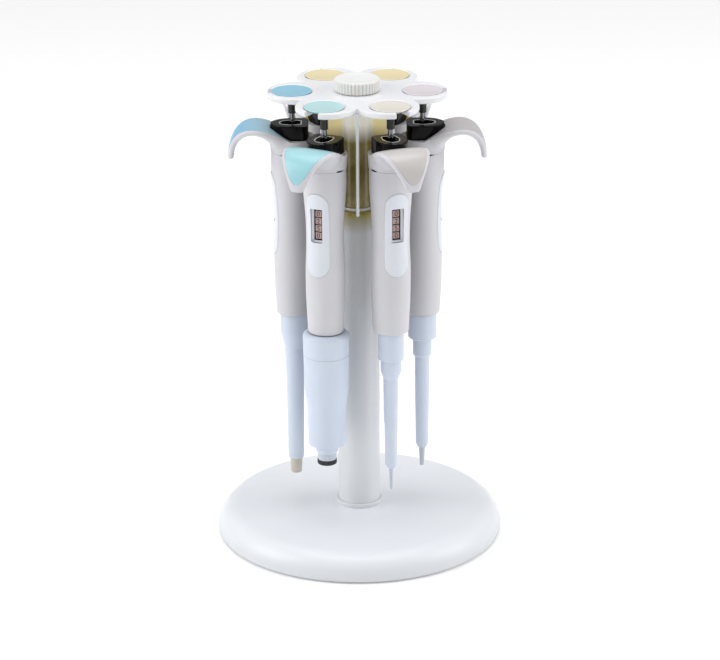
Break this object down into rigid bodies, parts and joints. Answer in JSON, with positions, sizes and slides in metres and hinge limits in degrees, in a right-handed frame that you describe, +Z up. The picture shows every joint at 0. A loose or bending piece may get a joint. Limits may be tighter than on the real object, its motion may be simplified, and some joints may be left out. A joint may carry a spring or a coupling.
{
  "type": "pipette carousel stand",
  "caption": "Round-based bench stand whose lobed rotor hangs hand pipettes by their push-buttons, hooks outwards, so that each turns to the front and draws out of its slot.",
  "frame": {"origin": "centre of the base on the table surface, at the bottom of the rubber feet", "axes": "+Z up along the column and the rotor's axis; +X towards the first station"},
  "size_m": [0.1776, 0.1776, 0.2942],
  "materials": {
    "base": "polished moulded plastic",
    "column": "smooth off-white plastic tube",
    "rotor": "milky moulded plastic",
    "knob": "satin moulded plastic",
    "steel": "plated steel",
    "chrome": "polished stainless steel",
    "rubber": "matt rubber",
    "bush": "slippery natural plastic",
    "cap": "glossy black plastic",
    "grip": "satin warm grey plastic",
    "sleeve": "white plastic with a soft shine",
    "nozzle": "cream heat-proof plastic",
    "pad_grey": "satin soft-touch plastic",
    "pad_yellow": "satin soft-touch plastic",
    "pad_blue": "satin soft-touch plastic",
    "pad_cyan": "satin soft-touch plastic",
    "pad_cream": "satin soft-touch plastic"
  },
  "bodies": {
    "stand": {"base_shell": "base", "base_ballast": "steel", "base_cover": "base", "rubber_feet": "rubber", "column_tube": "column", "column_collar": "rotor", "spindle": "steel", "thrust_washer": "bush"},
    "rotor": {"hub_bushes": "bush", "rotor_fins": "rotor", "rotor_plate": "rotor"},
    "knob": {"retaining_knob": "knob"},
    "button_1": {"push_button_1": "pad_grey"},
    "rod_1": {"push_rod_1": "chrome"},
    "handle_1": {"hook_head_1": "grip", "hook_pad_1": "pad_grey", "grip_1": "grip", "nozzle_1": "nozzle"},
    "ejector_1": {"ejector_cap_1": "cap", "ejector_sleeve_1": "sleeve"},
    "button_2": {"push_button_2": "pad_yellow"},
    "rod_2": {"push_rod_2": "chrome"},
    "handle_2": {"hook_head_2": "grip", "hook_pad_2": "pad_yellow", "grip_2": "grip", "nozzle_2": "nozzle"},
    "ejector_2": {"ejector_cap_2": "cap", "ejector_sleeve_2": "sleeve"},
    "button_3": {"push_button_3": "pad_yellow"},
    "rod_3": {"push_rod_3": "chrome"},
    "handle_3": {"hook_head_3": "grip", "hook_pad_3": "pad_yellow", "grip_3": "grip", "nozzle_3": "nozzle"},
    "ejector_3": {"ejector_cap_3": "cap", "ejector_sleeve_3": "sleeve"},
    "button_4": {"push_button_4": "pad_blue"},
    "rod_4": {"push_rod_4": "chrome"},
    "handle_4": {"hook_head_4": "grip", "hook_pad_4": "pad_blue", "grip_4": "grip", "nozzle_4": "nozzle"},
    "ejector_4": {"ejector_cap_4": "cap", "ejector_sleeve_4": "sleeve"},
    "button_5": {"push_button_5": "pad_cyan"},
    "rod_5": {"push_rod_5": "chrome"},
    "handle_5": {"hook_head_5": "grip", "hook_pad_5": "pad_cyan", "grip_5": "grip", "nozzle_5": "nozzle"},
    "ejector_5": {"ejector_cap_5": "cap", "ejector_sleeve_5": "sleeve"},
    "button_6": {"push_button_6": "pad_cream"},
    "rod_6": {"push_rod_6": "chrome"},
    "handle_6": {"hook_head_6": "grip", "hook_pad_6": "pad_cream", "grip_6": "grip", "nozzle_6": "nozzle"},
    "ejector_6": {"ejector_cap_6": "cap", "ejector_sleeve_6": "sleeve"}
  },
  "joints": [
    {"name": "rotor_turn", "type": "hinge", "parent": "stand", "child": "rotor", "pos_m": [0, 0, 0.2146], "axis": [0, 0, 1], "continuous": true},
    {"name": "knob_turn", "type": "hinge", "parent": "stand", "child": "knob", "pos_m": [0, 0, 0.2868], "axis": [0, 0, 1], "continuous": true},
    {"name": "draw_out_1", "type": "slide", "parent": "rotor", "child": "button_1", "axis": [0.848, 0, 0.5299], "range_m": [0, 0.06]},
    {"name": "swivel_1", "type": "hinge", "parent": "button_1", "child": "rod_1", "pos_m": [0.0395, 0, 0.2865], "axis": [0, 0, 1], "range_deg": [-40, 40]},
    {"name": "press_1", "type": "slide", "parent": "rod_1", "child": "handle_1", "axis": [0, 0, 1], "range_m": [0, 0.012], "stiffness_N_per_m": 350},
    {"name": "eject_1", "type": "slide", "parent": "handle_1", "child": "ejector_1", "axis": [0, 0, -1], "range_m": [0, 0.006], "stiffness_N_per_m": 900, "springref_m": -0.001},
    {"name": "draw_out_2", "type": "slide", "parent": "rotor", "child": "button_2", "axis": [0.424, 0.7344, 0.5299], "range_m": [0, 0.06]},
    {"name": "swivel_2", "type": "hinge", "parent": "button_2", "child": "rod_2", "pos_m": [0.01975, 0.03421, 0.2865], "axis": [0, 0, 1], "range_deg": [-40, 40]},
    {"name": "press_2", "type": "slide", "parent": "rod_2", "child": "handle_2", "axis": [0, 0, 1], "range_m": [0, 0.012], "stiffness_N_per_m": 350},
    {"name": "eject_2", "type": "slide", "parent": "handle_2", "child": "ejector_2", "axis": [0, 0, -1], "range_m": [0, 0.006], "stiffness_N_per_m": 900, "springref_m": -0.001},
    {"name": "draw_out_3", "type": "slide", "parent": "rotor", "child": "button_3", "axis": [-0.424, 0.7344, 0.5299], "range_m": [0, 0.06]},
    {"name": "swivel_3", "type": "hinge", "parent": "button_3", "child": "rod_3", "pos_m": [-0.01975, 0.03421, 0.2865], "axis": [0, 0, 1], "range_deg": [-40, 40]},
    {"name": "press_3", "type": "slide", "parent": "rod_3", "child": "handle_3", "axis": [0, 0, 1], "range_m": [0, 0.012], "stiffness_N_per_m": 350},
    {"name": "eject_3", "type": "slide", "parent": "handle_3", "child": "ejector_3", "axis": [0, 0, -1], "range_m": [0, 0.006], "stiffness_N_per_m": 900, "springref_m": -0.001},
    {"name": "draw_out_4", "type": "slide", "parent": "rotor", "child": "button_4", "axis": [-0.848, 0, 0.5299], "range_m": [0, 0.06]},
    {"name": "swivel_4", "type": "hinge", "parent": "button_4", "child": "rod_4", "pos_m": [-0.0395, 0, 0.2865], "axis": [0, 0, 1], "range_deg": [-40, 40]},
    {"name": "press_4", "type": "slide", "parent": "rod_4", "child": "handle_4", "axis": [0, 0, 1], "range_m": [0, 0.012], "stiffness_N_per_m": 350},
    {"name": "eject_4", "type": "slide", "parent": "handle_4", "child": "ejector_4", "axis": [0, 0, -1], "range_m": [0, 0.006], "stiffness_N_per_m": 900, "springref_m": -0.001},
    {"name": "draw_out_5", "type": "slide", "parent": "rotor", "child": "button_5", "axis": [-0.424, -0.7344, 0.5299], "range_m": [0, 0.06]},
    {"name": "swivel_5", "type": "hinge", "parent": "button_5", "child": "rod_5", "pos_m": [-0.01975, -0.03421, 0.2865], "axis": [0, 0, 1], "range_deg": [-40, 40]},
    {"name": "press_5", "type": "slide", "parent": "rod_5", "child": "handle_5", "axis": [0, 0, 1], "range_m": [0, 0.012], "stiffness_N_per_m": 350},
    {"name": "eject_5", "type": "slide", "parent": "handle_5", "child": "ejector_5", "axis": [0, 0, -1], "range_m": [0, 0.006], "stiffness_N_per_m": 900, "springref_m": -0.001},
    {"name": "draw_out_6", "type": "slide", "parent": "rotor", "child": "button_6", "axis": [0.424, -0.7344, 0.5299], "range_m": [0, 0.06]},
    {"name": "swivel_6", "type": "hinge", "parent": "button_6", "child": "rod_6", "pos_m": [0.01975, -0.03421, 0.2865], "axis": [0, 0, 1], "range_deg": [-40, 40]},
    {"name": "press_6", "type": "slide", "parent": "rod_6", "child": "handle_6", "axis": [0, 0, 1], "range_m": [0, 0.012], "stiffness_N_per_m": 350},
    {"name": "eject_6", "type": "slide", "parent": "handle_6", "child": "ejector_6", "axis": [0, 0, -1], "range_m": [0, 0.006], "stiffness_N_per_m": 900, "springref_m": -0.001}
  ]
}
